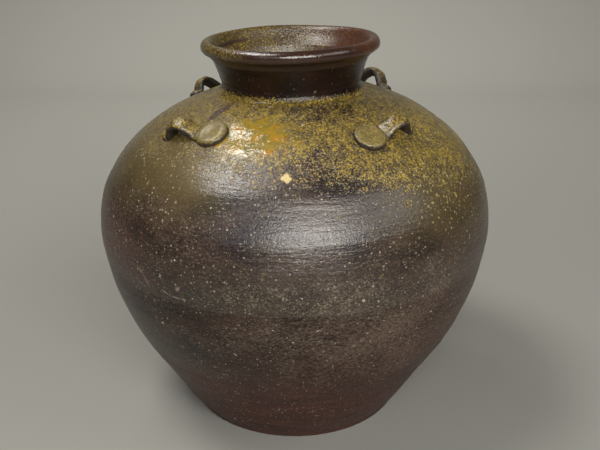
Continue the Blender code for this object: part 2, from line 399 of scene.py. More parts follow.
class Surface:
    """A fired surface that is built up layer on layer: its colour, roughness and height in millimetres.

    Its place is in millimetres: right is to the photograph's right, away is into it, up is up.
    """

    def __init__(self, name):
        self.material = bpy.data.materials.new(name)
        self.material.use_nodes = True
        self.tree = self.material.node_tree
        self.shader = self.tree.nodes["Principled BSDF"]
        place = self.add("ShaderNodeTexCoord", out="Object")
        turned = self.add(PLACED, {"Vector": place, "Rotation": (0, 0, -FRONT)})
        self.place = self.add("ShaderNodeVectorMath", {0: turned, "Scale": 1000}, operation="SCALE")
        self.right = self.add("ShaderNodeSeparateXYZ", {0: self.place}, out="X")
        self.away = self.add("ShaderNodeSeparateXYZ", {0: self.place}, out="Y")
        self.up = self.add("ShaderNodeSeparateXYZ", {0: self.place}, out="Z")
        self.colour = None
        self.roughness = None
        self.height = None

    def add(self, kind, inputs=None, out=0, **settings):
        """Adds one shader node, sets or links its inputs, and returns one of its outputs."""
        made = self.tree.nodes.new(kind)
        for key, value in settings.items():
            setattr(made, key, value)
        for key, value in (inputs or {}).items():
            if isinstance(value, bpy.types.NodeSocket):
                self.tree.links.new(value, made.inputs[key])
            else:
                made.inputs[key].default_value = value
        return made.outputs[out]

    def spot(self, centre, size, turn=(0, 0, 0), ragged=0.0):
        """1 in the middle of an ellipsoid with these half sizes, and 0 from its surface on."""
        inputs = {"Vector": self.place, "Location": centre, "Rotation": turn, "Scale": size}
        local = self.add(PLACED, inputs, vector_type="TEXTURE")
        reach = self.add("ShaderNodeVectorMath", {0: local}, out="Value", operation="LENGTH")
        if ragged:
            rag = self.add(NOISE, {"Vector": self.place, "Scale": 1 / 5, "Detail": 4, "Roughness": 0.65})
            rag = self.add(RANGE, {0: rag, 1: 0.3, 2: 0.7, 3: -ragged, 4: ragged})
            reach = self.add(MATH, {0: reach, 1: rag}, operation="ADD")
        return self.add(RANGE, {0: reach, 1: 1, 2: 0}, interpolation_type="SMOOTHSTEP")

    def lay(self, share, tint, roughness, height, fill=0.0):
        """Covers this share of the surface with a layer that fills the relief under it and adds height."""
        self.colour = self.add(MIX, {0: share, 6: self.colour, 7: tint}, out=2, data_type="RGBA")
        self.roughness = self.add(MIX, {0: share, 2: self.roughness, 3: roughness})
        if fill:
            open_share = self.add(MATH, {0: share, 1: -fill, 2: 1}, operation="MULTIPLY_ADD")
            self.height = self.add(MATH, {0: self.height, 1: open_share}, operation="MULTIPLY")
        self.height = self.add(MATH, {0: share, 1: height, 2: self.height}, operation="MULTIPLY_ADD")

    def finish(self, ior):
        """Links the layers to the shader, sets its index of refraction and returns the material."""
        normal = self.add("ShaderNodeBump", {"Height": self.height, "Distance": 0.001})
        self.tree.links.new(self.colour, self.shader.inputs["Base Color"])
        self.tree.links.new(self.roughness, self.shader.inputs["Roughness"])
        self.tree.links.new(normal, self.shader.inputs["Normal"])
        self.shader.inputs["IOR"].default_value = ior
        return self.material


def paint(name):
    """A colour from the panel, linear and with full alpha."""
    return (*getattr(bpy.context.scene.jar_colours, name), 1)


def hexa(code):
    """An sRGB hex colour as linear colour with full alpha."""
    return (*linear(code), 1)


def iron_slip(surface):
    """Thin iron-brown slip over gritty clay, wiped round the jar on the wheel: satin, streaky and grainy."""
    add = surface.add
    flat = add(PLACED, {"Vector": surface.place, "Scale": (1, 1, 2.2)})
    clouds = add(NOISE, {"Vector": flat, "Scale": 1 / 44, "Detail": 4, "Roughness": 0.55})
    # Wiping marks: 2 mm high and some 20 mm long.
    wiped = add(PLACED, {"Vector": surface.place, "Scale": (0.1, 0.1, 1)})
    streaks = add(NOISE, {"Vector": wiped, "Scale": 1 / 2.2, "Detail": 3, "Roughness": 0.65})
    # Grain of the clay under the slip, 0.4 mm, drawn 1.7 mm wide to show.
    grain = add(NOISE, {"Vector": surface.place, "Scale": 1 / 1.7, "Detail": 2, "Roughness": 0.7})
    tone = add(MATH, {0: streaks, 1: 0.4, 2: clouds}, operation="MULTIPLY_ADD")
    tone = add(MATH, {0: grain, 1: 0.45, 2: tone}, operation="MULTIPLY_ADD")
    tone = add(RANGE, {0: tone, 1: 0.78, 2: 1.08})
    ground = {0: tone, 6: paint("slip_dark"), 7: paint("slip_brown")}
    surface.colour = add(MIX, ground, out=2, data_type="RGBA")
    rough = add(MATH, {0: clouds, 1: 0.5, 2: grain}, operation="MULTIPLY_ADD")
    surface.roughness = add(RANGE, {0: rough, 1: 0.5, 2: 1.0, 3: 0.25, 4: 0.38})
    surface.height = add(MATH, {0: streaks, 1: 0.34}, operation="MULTIPLY")
    surface.height = add(MATH, {0: grain, 1: 0.28, 2: surface.height}, operation="MULTIPLY_ADD")


def worn_grain(surface):
    """Fine pale dashes where the slip wore off the tops of the wiping marks, thickest in the middle."""
    add = surface.add
    # The dashes are 0.5 mm high, drawn 1.1 mm.
    wiped = add(PLACED, {"Vector": surface.place, "Scale": (0.45, 0.45, 1)})
    dashes = add(NOISE, {"Vector": wiped, "Scale": 1 / 1.1, "Detail": 2, "Roughness": 0.8})
    clouds = add(NOISE, {"Vector": surface.place, "Scale": 1 / 34, "Detail": 3})
    middle = surface.spot((52, -120, 112), (130, 110, 74))
    level = add(MATH, {0: clouds, 1: 0.35, 2: dashes}, operation="MULTIPLY_ADD")
    level = add(MATH, {0: middle, 1: 0.18, 2: level}, operation="MULTIPLY_ADD")
    share = add(RANGE, {0: level, 1: 0.70, 2: 1.02, 3: 0, 4: 0.6})
    surface.lay(share, hexa("#7b6b5d"), 0.42, 0.06)


def reddened(surface):
    """Places where the flame thinned the slip, so that the red clay shows: low down, and at the left."""
    add = surface.add
    slant = add(MATH, {0: surface.right, 1: 0.32, 2: 96}, operation="MULTIPLY_ADD")
    below = add(MATH, {0: slant, 1: surface.up}, operation="SUBTRACT")
    wander = add(NOISE, {"Vector": surface.place, "Scale": 1 / 32, "Detail": 3})
    below = add(MATH, {0: wander, 1: 60, 2: below}, operation="MULTIPLY_ADD")
    low = add(RANGE, {0: below, 1: 12, 2: 60, 3: 0, 4: 0.75})
    left = surface.spot((-124, -70, 156), (62, 80, 46), ragged=0.3)
    share = add(MATH, {0: low, 1: left}, operation="MAXIMUM")
    surface.lay(share, paint("slip_red"), 0.40, 0)


def bare_foot(surface):
    """Reddish clay that the slip stops short of, with a wavy edge: smoother, from the potter's wet hand."""
    add = surface.add
    edge = add(MATH, {0: surface.right, 1: 0.10, 2: surface.up}, operation="MULTIPLY_ADD")
    wander = add(NOISE, {"Vector": surface.place, "Scale": 1 / 24, "Detail": 4})
    edge = add(MATH, {0: wander, 1: -30, 2: edge}, operation="MULTIPLY_ADD")
    share = add(RANGE, {0: edge, 1: 58, 2: 40, 3: 0, 4: 0.85})
    wiped = add(PLACED, {"Vector": surface.place, "Scale": (0.15, 0.15, 1)})
    mottle = add(NOISE, {"Vector": wiped, "Scale": 1 / 5, "Detail": 4})
    mottle = add(RANGE, {0: mottle, 1: 0.35, 2: 0.65})
    tint = add(MIX, {0: mottle, 6: hexa("#38201a"), 7: paint("foot_clay")}, out=2, data_type="RGBA")
    surface.lay(share, tint, 0.46, 0)


def speckled_band(surface):
    """The belt of dense pale speckle above the lower seam. It thins out at the left and the right."""
    add = surface.add
    wander = add(NOISE, {"Vector": surface.place, "Scale": 1 / 36, "Detail": 3})
    line = add(MATH, {0: wander, 1: -26, 2: surface.up}, operation="MULTIPLY_ADD")
    belt = add(RANGE, {0: line, 1: 120, 2: 128})
    for edge in (
        add(RANGE, {0: line, 1: 158, 2: 136}),
        add(RANGE, {0: surface.right, 1: -78, 2: -40}),
        add(RANGE, {0: surface.right, 1: 40, 2: 92, 3: 1, 4: 0.2}),
    ):
        belt = add(MATH, {0: belt, 1: edge}, operation="MULTIPLY")
    shade = add(MATH, {0: belt, 1: 0.5}, operation="MULTIPLY")
    surface.lay(shade, hexa("#2c231c"), 0.42, 0)
    # Specks of 0.3 to 1 mm, drawn 1.1 mm high.
    dashed = add(PLACED, {"Vector": surface.place, "Scale": (0.6, 0.6, 1)})
    specks = add(NOISE, {"Vector": dashed, "Scale": 1 / 1.1, "Detail": 2, "Roughness": 0.8})
    clump = add(NOISE, {"Vector": surface.place, "Scale": 1 / 9, "Detail": 3})
    specks = add(MATH, {0: clump, 1: 0.2, 2: specks}, operation="MULTIPLY_ADD")
    specks = add(RANGE, {0: specks, 1: 0.60, 2: 0.80, 3: 0, 4: 0.6})
    specks = add(MATH, {0: specks, 1: belt}, operation="MULTIPLY")
    surface.lay(specks, hexa("#93876f"), 0.45, 0.08)


def ragged_edge(surface, amount):
    """How far the edge of a grain wanders in and out, in millimetres."""
    rag = surface.add(NOISE, {"Vector": surface.place, "Scale": 1 / 1.3, "Detail": 2})
    return surface.add(RANGE, {0: rag, 1: 0.3, 2: 0.7, 3: -amount, 4: amount})


def grains(surface, cell, rag):
    """Each grain's ragged distance from its middle, its luck and its paleness, by cells of this size."""
    add = surface.add
    inputs = {"Vector": surface.place, "Scale": 1 / cell}
    away = add(CELLS, inputs)
    away = add(MATH, {0: away, 1: cell, 2: rag}, operation="MULTIPLY_ADD")
    luck = add("ShaderNodeSeparateColor", {0: add(CELLS, inputs, out="Color")}, out="Red")
    pale = add("ShaderNodeSeparateColor", {0: add(CELLS, inputs, out="Color")}, out="Green")
    return away, luck, pale


def feldspar_grit(surface, amount=1.0):
    """Grains of pale feldspar that stand in the clay: much fine dust, specks of 1 mm and a few chips."""
    add = surface.add
    rag = ragged_edge(surface, 0.30)
    # Cell in millimetres, reach of the largest grain, share of cells left bare, and how far a grain covers.
    for cell, reach, bare, show in (
        (2.2, 0.75, 0.35, 0.45), (5.5, 0.90, 0.42, 0.70), (15, 1.35, 0.60, 0.85),
    ):
        away, luck, pale = grains(surface, cell, rag)
        size = add(RANGE, {0: luck, 1: bare, 2: 1, 3: -0.5, 4: reach})
        share = add(MATH, {0: size, 1: away}, operation="SUBTRACT")
        share = add(RANGE, {0: share, 1: -0.15, 2: 0.25, 3: 0, 4: show * amount})
        tint = add(MIX, {0: pale, 6: hexa("#857762"), 7: paint("grit")}, out=2, data_type="RGBA")
        surface.lay(share, tint, 0.5, 0.15)


def scratches(surface):
    """Two bent pale scratches on the left flank, of two straight lengths each, and the chip beside them."""
    # Middle in millimetres, half length, lean from upright and facing, both in degrees.
    for centre, half, lean, facing in (
        ((-103.4, -108.1, 151.8), 5.5, -52, -44), ((-98.6, -111.9, 145.0), 6.5, -34, -41),
        ((-84.5, -122.5, 142.0), 5.5, -67, -35), ((-77.3, -126.9, 140.5), 6.0, -88, -31),
    ):
        turn = (0, math.radians(lean), math.radians(facing))
        line = surface.spot(centre, (0.8, 8, half), turn)
        share = surface.add(MATH, {0: line, 1: 0.9}, operation="MULTIPLY")
        surface.lay(share, hexa("#9a8374"), 0.5, -0.05)
    chip = surface.spot((-76, -128.6, 147.8), (2.4, 6, 2.4), ragged=0.4)
    surface.lay(chip, hexa("#8f7a6c"), 0.5, 0.1)


def olive_film(surface):
    """A thin coat of melted ash, smooth and olive, on the sides and the back of the shoulder."""
    add = surface.add
    left = add(RANGE, {0: surface.right, 1: -34, 2: -66})
    right = add(RANGE, {0: surface.right, 1: 44, 2: 92, 3: 0, 4: 0.6})
    back = add(RANGE, {0: surface.away, 1: 10, 2: 60, 3: 0, 4: 0.7})
    sides = add(MATH, {0: left, 1: right}, operation="MAXIMUM")
    sides = add(MATH, {0: sides, 1: back}, operation="MAXIMUM")
    drop = add(RANGE, {0: surface.right, 1: -10, 2: 115, 3: 0, 4: 26})
    drift = add(NOISE, {"Vector": surface.place, "Scale": 1 / 30, "Detail": 4})
    line = add(MATH, {0: surface.up, 1: drop}, operation="ADD")
    line = add(MATH, {0: drift, 1: 30, 2: line}, operation="MULTIPLY_ADD")
    share = add(RANGE, {0: line, 1: 192, 2: 240, 3: 0, 4: 0.9}, interpolation_type="SMOOTHSTEP")
    share = add(MATH, {0: share, 1: sides}, operation="MULTIPLY")
    fine = add(NOISE, {"Vector": surface.place, "Scale": 1 / 1.4, "Detail": 2, "Roughness": 0.75})
    fine = add(RANGE, {0: fine, 1: 0.36, 2: 0.62})
    tint = add(MIX, {0: fine, 6: hexa("#53462e"), 7: paint("ash_olive")}, out=2, data_type="RGBA")
    surface.lay(share, tint, 0.25, 0.05, fill=0.6)


def grain_luck(surface, cell):
    """A value from 0 to 1 for each grain, cell millimetres wide."""
    cells = surface.add(CELLS, {"Vector": surface.place, "Scale": 1 / cell}, out="Color")
    return surface.add("ShaderNodeSeparateColor", {0: cells}, out="Blue")


def ash_tint(surface, bright):
    """The many tones of ash grains of about 1 mm: dark in the gaps, olive, ochre and yellow on top."""
    add = surface.add
    bright = add(MATH, {0: grain_luck(surface, 1.15), 1: 0.30, 2: bright}, operation="MULTIPLY_ADD")
    bright = add(MATH, {0: bright, 1: 0.15}, operation="SUBTRACT")
    tint = hexa("#3d2f19")
    for low, high, above in (
        (0.30, 0.50, paint("ash_olive")), (0.46, 0.60, paint("ash_ochre")), (0.60, 0.72, hexa("#a2893a")),
    ):
        share = add(RANGE, {0: bright, 1: low, 2: high})
        tint = add(MIX, {0: share, 6: tint, 7: above}, out=2, data_type="RGBA")
    return tint


def ash_grains(surface):
    """Fly ash that stuck in grains of 1 mm, ochre over brown: dense by the lugs, sparse on the belly."""
    add = surface.add
    drop = add(RANGE, {0: surface.right, 1: -10, 2: 115, 3: 0, 4: 20})
    drift = add(NOISE, {"Vector": surface.place, "Scale": 1 / 26, "Detail": 3})
    line = add(MATH, {0: surface.up, 1: drop}, operation="ADD")
    line = add(MATH, {0: drift, 1: 30, 2: line}, operation="MULTIPLY_ADD")
    dense = add(RANGE, {0: line, 1: 226, 2: 252})
    # By the neck's foot the front is nearly bare.
    bare = surface.spot((22, -62, 250), (52, 26, 9), ragged=0.35)
    dense = add(MATH, {0: bare, 1: -0.5, 2: dense}, operation="MULTIPLY_ADD")
    fine = add(NOISE, {"Vector": surface.place, "Scale": 1 / 1.25, "Detail": 2, "Roughness": 0.75})
    clump = add(NOISE, {"Vector": surface.place, "Scale": 1 / 7, "Detail": 3})
    level = add(MATH, {0: clump, 1: 0.6, 2: fine}, operation="MULTIPLY_ADD")
    level = add(MATH, {0: grain_luck(surface, 1.0), 1: 0.32, 2: level}, operation="MULTIPLY_ADD")
    level = add(MATH, {0: dense, 1: 0.45, 2: level}, operation="MULTIPLY_ADD")
    share = add(RANGE, {0: level, 1: 1.20, 2: 1.38, 3: 0, 4: 0.95})
    lift = add(MATH, {0: clump, 1: 0.35, 2: fine}, operation="MULTIPLY_ADD")
    lift = add(MATH, {0: lift, 1: 0.175}, operation="SUBTRACT")
    side = add(RANGE, {0: surface.right, 1: -25, 2: -70, 3: 0, 4: 0.05})
    lift = add(MATH, {0: lift, 1: side}, operation="SUBTRACT")
    surface.lay(share, ash_tint(surface, lift), 0.32, 0.18)


def ash_dust(surface):
    """Single grains of ash, up to 3 mm, that thin out down the right flank."""
    add = surface.add
    rag = ragged_edge(surface, 0.35)
    reach = add(RANGE, {0: surface.right, 1: -30, 2: 90})
    lower = add(RANGE, {0: surface.right, 1: 0, 2: 110, 3: 0, 4: 26})
    fade = add(MATH, {0: surface.up, 1: lower}, operation="ADD")
    fade = add(RANGE, {0: fade, 1: 178, 2: 232})
    thick = add(MATH, {0: reach, 1: fade}, operation="MULTIPLY")
    for cell, size in ((2.4, 1.3), (4.6, 1.5)):
        away, luck, pale = grains(surface, cell, rag)
        grain = add(MATH, {0: luck, 1: thick}, operation="MULTIPLY")
        grain = add(MATH, {0: grain, 1: size * 1.5, 2: -0.45}, operation="MULTIPLY_ADD")
        share = add(MATH, {0: grain, 1: away}, operation="SUBTRACT")
        share = add(RANGE, {0: share, 1: -0.15, 2: 0.25, 3: 0, 4: 0.8})
        tint = add(MIX, {0: pale, 6: hexa("#5f5230"), 7: hexa("#a19150")}, out=2, data_type="RGBA")
        surface.lay(share, tint, 0.4, 0.15)


def plum_streak(surface):
    """Where the ash slid off the slip beside the front left lug: bare dark plum."""
    share = surface.spot((-51, -48, 247), (6.5, 17, 10), turn=(0, 0, math.radians(-47)), ragged=0.35)
    share = surface.add(RANGE, {0: share, 1: 0.05, 2: 0.4, 3: 0, 4: 0.85})
    surface.lay(share, hexa("#35201d"), 0.3, 0)


def amber_pool(surface):
    """Ash glass that pooled to amber by the front left lug: deep yellow and wet-looking."""
    add = surface.add
    pool = surface.spot((-27, -86, 238), (36, 30, 20), ragged=0.25)
    share = add(RANGE, {0: pool, 1: 0.02, 2: 0.4, 3: 0, 4: 0.97})
    ripple = add(NOISE, {"Vector": surface.place, "Scale": 1 / 6, "Detail": 2, "Roughness": 0.5})
    depth = add(NOISE, {"Vector": surface.place, "Scale": 1 / 9, "Detail": 5, "Roughness": 0.6})
    thin = add(RANGE, {0: depth, 1: 0.38, 2: 0.56})
    tint = add(MIX, {0: thin, 6: hexa("#6a6030"), 7: paint("ash_amber")}, out=2, data_type="RGBA")
    thick = add(RANGE, {0: depth, 1: 0.54, 2: 0.70})
    tint = add(MIX, {0: thick, 6: tint, 7: hexa("#9c611a")}, out=2, data_type="RGBA")
    height = add(MATH, {0: ripple, 1: 0.7}, operation="MULTIPLY")
    surface.lay(share, tint, 0.09, height, fill=0.9)


def pale_star(surface):
    """A chip of pale feldspar that burst through the glaze on the shoulder."""
    share = surface.spot((-5, -117.6, 220.8), (4.6, 4, 4.6), ragged=0.4)
    share = surface.add(RANGE, {0: share, 1: 0.08, 2: 0.4, 3: 0, 4: 0.95})
    surface.lay(share, hexa("#c2ac74"), 0.4, 0.3)


def clay_wall(name, ior, *layers):
    """Wood-fired stoneware, thrown and slipped: satin where the slip melted, matt where the clay is bare."""
    surface = Surface(name)
    iron_slip(surface)
    for layer in layers:
        layer(surface)
    return surface.finish(ior)


def neck_glaze():
    """Plum-brown iron slip that melted to a gloss on the neck: dark, with turning lines and a few specks."""
    surface = Surface("plum_iron_slip_thrown_stoneware")
    add = surface.add
    wiped = add(PLACED, {"Vector": surface.place, "Scale": (0.05, 0.05, 1)})
    lines = add(NOISE, {"Vector": wiped, "Scale": 1 / 1.8, "Detail": 3})
    clouds = add(NOISE, {"Vector": surface.place, "Scale": 1 / 20, "Detail": 3})
    tone = add(MATH, {0: lines, 1: 0.6, 2: clouds}, operation="MULTIPLY_ADD")
    tone = add(RANGE, {0: tone, 1: 0.6, 2: 1.0})
    ground = {0: tone, 6: hexa("#120a08"), 7: paint("plum")}
    surface.colour = add(MIX, ground, out=2, data_type="RGBA")
    surface.roughness = add(RANGE, {0: clouds, 1: 0.3, 2: 0.7, 3: 0.20, 4: 0.30})
    surface.height = add(MATH, {0: lines, 1: 0.10}, operation="MULTIPLY")
    # Ash dust that settled on the fillet at the neck's foot.
    fine = add(NOISE, {"Vector": surface.place, "Scale": 1 / 1.25, "Detail": 2, "Roughness": 0.75})
    low = add(RANGE, {0: surface.up, 1: 258.5, 2: 252.5, 3: -0.25, 4: 0.35})
    dust = add(MATH, {0: fine, 1: low}, operation="ADD")
    dust = add(RANGE, {0: dust, 1: 0.50, 2: 0.72, 3: 0, 4: 0.9})
    surface.lay(dust, ash_tint(surface, fine), 0.22, 0.1)
    feldspar_grit(surface, 0.2)
    return surface.finish(1.38)


def mouth_ash(surface):
    """Glossy iron glaze with ash inside the mouth: olive grains at the left, red-brown at the right."""
    add = surface.add
    clouds = add(NOISE, {"Vector": surface.place, "Scale": 1 / 14, "Detail": 3})
    fine = add(NOISE, {"Vector": surface.place, "Scale": 1 / 1.4, "Detail": 2, "Roughness": 0.7})
    red = add(RANGE, {0: surface.right, 1: -10, 2: 45})
    ground = {0: red, 6: hexa("#3a2d1b"), 7: hexa("#46281a")}
    surface.colour = add(MIX, ground, out=2, data_type="RGBA")
    surface.roughness = add(RANGE, {0: fine, 1: 0.3, 2: 0.7, 3: 0.2, 4: 0.34})
    surface.height = add(MATH, {0: fine, 1: 0.25}, operation="MULTIPLY")
    fall = add(RANGE, {0: surface.right, 1: 55, 2: -50, 3: 0, 4: 0.42})
    level = add(MATH, {0: clouds, 1: 0.6, 2: fine}, operation="MULTIPLY_ADD")
    level = add(MATH, {0: level, 1: fall}, operation="ADD")
    share = add(RANGE, {0: level, 1: 0.95, 2: 1.20, 3: 0, 4: 0.7})
    dull = add(MATH, {0: fine, 1: 0.08}, operation="SUBTRACT")
    surface.lay(share, ash_tint(surface, dull), 0.22, 0.10)


def mouth_glaze():
    """The glazed inside of the mouth."""
    surface = Surface("ash_glazed_mouth_stoneware")
    mouth_ash(surface)
    return surface.finish(1.6)


def rim_glaze():
    """Ash glaze on the rolled lip: olive where the ash fell, worn to glossy red-brown in front."""
    surface = Surface("ash_glazed_rolled_stoneware")
    mouth_ash(surface)
    add = surface.add
    clouds = add(NOISE, {"Vector": surface.place, "Scale": 1 / 12, "Detail": 3})
    fine = add(NOISE, {"Vector": surface.place, "Scale": 1 / 1.8, "Detail": 2, "Roughness": 0.7})
    # The front of the lip, from its inner edge out.
    front = add(RANGE, {0: surface.away, 1: -36, 2: -50})
    left = add(RANGE, {0: surface.right, 1: -48, 2: -30})
    front = add(MATH, {0: front, 1: left}, operation="MULTIPLY")
    worn = add(MATH, {0: fine, 1: 0.5, 2: clouds}, operation="MULTIPLY_ADD")
    worn = add(RANGE, {0: worn, 1: 1.02, 2: 0.84, 3: 0.5, 4: 1})
    front = add(MATH, {0: front, 1: worn}, operation="MULTIPLY")
    surface.lay(front, hexa("#2e1b14"), 0.19, 0, fill=0.7)
    # The underside of the roll stays as dark as the neck.
    under = add(RANGE, {0: surface.up, 1: 283.5, 2: 281})
    flat = add(PLACED, {"Vector": surface.place, "Scale": (1, 1, 0)})
    radius = add("ShaderNodeVectorMath", {0: flat}, out="Value", operation="LENGTH")
    outside = add(RANGE, {0: radius, 1: 56, 2: 57})
    under = add(MATH, {0: under, 1: outside}, operation="MULTIPLY")
    surface.lay(under, hexa("#2b1b16"), 0.3, 0)
    return surface.finish(1.6)


def lug_glaze():
    """Ash crust on the lugs: olive glaze on top where the ash settled; near-black on the flanks, undersides
    and in the crevices, partly bare clay and partly painted shade.
    """
    surface = Surface("ash_crusted_pressed_stoneware")
    add = surface.add
    fine = add(NOISE, {"Vector": surface.place, "Scale": 1 / 1.4, "Detail": 2, "Roughness": 0.75})
    clump = add(NOISE, {"Vector": surface.place, "Scale": 1 / 7, "Detail": 3})
    # Near-black ground of the flanks, undersides and crevices: partly bare clay, partly painted shade.
    bare = {0: fine, 6: hexa("#15100d"), 7: hexa("#3a2f24")}
    surface.colour = add(MIX, bare, out=2, data_type="RGBA")
    surface.roughness = add(RANGE, {0: fine, 1: 0.3, 2: 0.7, 3: 0.4, 4: 0.6})
    surface.height = add(MATH, {0: fine, 1: 0.5}, operation="MULTIPLY")
    proud = add("ShaderNodeAttribute", out="Fac", attribute_name="proud")
    pressed = add("ShaderNodeAttribute", out="Fac", attribute_name="pressed")
    level = add(MATH, {0: clump, 1: 0.3, 2: fine}, operation="MULTIPLY_ADD")
    # Ash gathers on what faces up; what faces sideways or down keeps the near-black ground, painted shade
    # under the strap and where the lug meets the shoulder.
    level = add(MATH, {0: proud, 1: 0.6, 2: level}, operation="MULTIPLY_ADD")
    level = add(MATH, {0: pressed, 1: 0.12, 2: level}, operation="MULTIPLY_ADD")
    share = add(RANGE, {0: level, 1: 0.92, 2: 1.12, 3: 0, 4: 0.95})
    lift = add(MATH, {0: clump, 1: 0.3, 2: fine}, operation="MULTIPLY_ADD")
    lift = add(MATH, {0: lift, 1: 0.16}, operation="SUBTRACT")
    # On the pads the ash melted to a smooth pale olive.
    film = add(MIX, {0: pressed, 6: ash_tint(surface, lift), 7: hexa("#746943")}, out=2, data_type="RGBA")
    tint = add(MIX, {0: 0.5, 6: ash_tint(surface, lift), 7: film}, out=2, data_type="RGBA")
    surface.lay(share, tint, 0.30, 0.10, fill=0.5)
    return surface.finish(1.6)


def inner_wash():
    """The unglazed inside: dark fired clay with throwing rings, satin from kiln vapour."""
    surface = Surface("dark_fired_inner_clay")
    add = surface.add
    wiped = add(PLACED, {"Vector": surface.place, "Scale": (0.08, 0.08, 1)})
    rings = add(NOISE, {"Vector": wiped, "Scale": 1 / 4, "Detail": 2})
    grain = add(NOISE, {"Vector": surface.place, "Scale": 1 / 2, "Detail": 3})
    wash = {0: grain, 6: hexa("#211612"), 7: hexa("#3f2a22")}
    surface.colour = add(MIX, wash, out=2, data_type="RGBA")
    surface.roughness = add(RANGE, {0: grain, 1: 0.3, 2: 0.7, 3: 0.38, 4: 0.55})
    surface.height = add(MATH, {0: rings, 1: 0.3}, operation="MULTIPLY")
    surface.height = add(MATH, {0: grain, 1: 0.1, 2: surface.height}, operation="MULTIPLY_ADD")
    return surface.finish(1.5)


def base_clay():
    """Bare iron-red stoneware, sanded from the kiln shelf: the slab and its heel."""
    surface = Surface("iron_red_bare_stoneware")
    add = surface.add
    mottle = add(NOISE, {"Vector": surface.place, "Scale": 1 / 12, "Detail": 4})
    grain = add(NOISE, {"Vector": surface.place, "Scale": 1 / 1.2, "Detail": 2, "Roughness": 0.8})
    bare = {0: mottle, 6: hexa("#3a2520"), 7: paint("foot_clay")}
    surface.colour = add(MIX, bare, out=2, data_type="RGBA")
    surface.roughness = add(RANGE, {0: grain, 1: 0.3, 2: 0.7, 3: 0.5, 4: 0.7})
    surface.height = add(MATH, {0: grain, 1: 0.25}, operation="MULTIPLY")
    feldspar_grit(surface, 0.7)
    return surface.finish(1.5)


class JAR_OT_base_slab(bpy.types.Operator):
    """Makes the slab that the jar stands on"""
    bl_idname = "jar.base_slab"
    bl_label = "Base slab"

    def execute(self, context):
        foot = body_radius(HEEL_ROUNDING) - HEEL_ROUNDING
        floor = [(r, 0) for r in spaced(0, foot, INNER_ROW)]
        heel = [
            (foot + HEEL_ROUNDING * math.sin(a), HEEL_ROUNDING * (1 - math.cos(a)))
            for a in spaced(0, math.pi / 2, HEEL_STEP)
        ]
        wall = [(body_radius(h), h) for h in spaced(HEEL_ROUNDING, BASE_THICKNESS, ROW)]
        top = [(r, BASE_THICKNESS) for r in spaced(wall[-1][0], 0, INNER_ROW)]
        outline = [*floor, *heel[1:], *wall[1:], *top[1:]]
        mesh = spun("base_slab_skin", outline, body_skin)
        dressed(mesh, "base_slab_skin", "base_slab", "foot_clay", base_clay())
        return {"FINISHED"}


class JAR_OT_body(bpy.types.Operator):
    """Makes the three luted rings of the body"""
    bl_idname = "jar.body"
    bl_label = "Body rings"

    def execute(self, context):
        wall = context.scene.jar_sizes.wall
        inside = inner_wash()
        lower = clay_wall(
            "iron_slip_thrown_stoneware", 1.38, reddened, worn_grain, speckled_band, bare_foot,
            feldspar_grit, scratches,
        )
        upper = clay_wall(
            "ash_dusted_iron_slip_stoneware", 1.64, reddened, worn_grain, speckled_band, olive_film,
            ash_dust, ash_grains, feldspar_grit, scratches,
        )
        shoulder = clay_wall(
            "natural_ash_glazed_stoneware", 1.64, olive_film, ash_dust, ash_grains, plum_streak, amber_pool,
            pale_star, feldspar_grit,
        )
        rings = (
            ("lower_wall", BASE_THICKNESS, LOWER_SEAM, SEAT_DROP, -wall, lower, "iron_glazed_wall"),
            ("belly_ring", LOWER_SEAM, SHOULDER_SEAM, SEAT_DROP, SEAT_DROP, upper, "iron_glazed_wall"),
            ("shoulder_ring", SHOULDER_SEAM, NECK_FOOT, 0, SEAT_DROP, shoulder, "ash_glazed_shoulder"),
        )
        for node, low, high, drop, foot_drop, finish, slot in rings:
            outer = [(body_radius(h), h) for h in spaced(low, high, ROW)]
            inner = [body_point(h, wall) for h in spaced(high - drop, low - foot_drop, INNER_ROW)]
            foot = [(body_point(low, wall)[0], low)] if foot_drop < 0 else []
            mesh = spun(f"{node}_skin", [*outer, *inner, *foot], body_skin)
            dressed(mesh, f"{node}_skin", node, slot, finish, inside)
        return {"FINISHED"}


class JAR_OT_neck(bpy.types.Operator):
    """Makes the collar between the shoulder and the rim"""
    bl_idname = "jar.neck"
    bl_label = "Neck"

    def execute(self, context):
        seat = body_point(NECK_FOOT, context.scene.jar_sizes.wall)
        waist = BODY_HEIGHT + NECK_WAIST_RISE
        fillet = [
            (
                NECK_WAIST_RADIUS + (NECK_FOOT_RADIUS - NECK_WAIST_RADIUS) * (1 - math.sin(a)),
                NECK_FOOT + (waist - NECK_FOOT) * (1 - math.cos(a)),
            )
            for a in spaced(0, math.pi / 2, FILLET_STEP)
        ]
        flare = [
            (
                NECK_WAIST_RADIUS + (NECK_TOP_RADIUS - NECK_WAIST_RADIUS) * t ** FLARE_POWER,
                waist + (RIM_FOOT - waist) * t,
            )
            for t in spaced(0, 1, FLARE_STEP)
        ]
        bore = [(r - NECK_WALL, h) for r, h in reversed(flare)]
        mesh = spun("neck_skin", [*fillet[:-1], *flare, *bore, seat], neck_skin)
        dressed(mesh, "neck_skin", "neck", "iron_glazed_neck", neck_glaze(), mouth_glaze())
        return {"FINISHED"}


class JAR_OT_rim(bpy.types.Operator):
    """Makes the rolled lip"""
    bl_idname = "jar.rim"
    bl_label = "Rolled rim"

    def execute(self, context):
        last = len(RIM_OUTLINE_SHARES) - 1
        points = [(r * RIM_RADIUS, RIM_FOOT + h * RIM_RADIUS) for r, h in RIM_OUTLINE_SHARES]
        outline = [smooth_curve(points, t) for t in spaced(0, last, RIM_STEP)]
        mesh = spun("rolled_rim_skin", outline, neck_skin)
        dressed(mesh, "rolled_rim_skin", "rolled_rim", "ash_glazed_rim", rim_glaze())
        return {"FINISHED"}


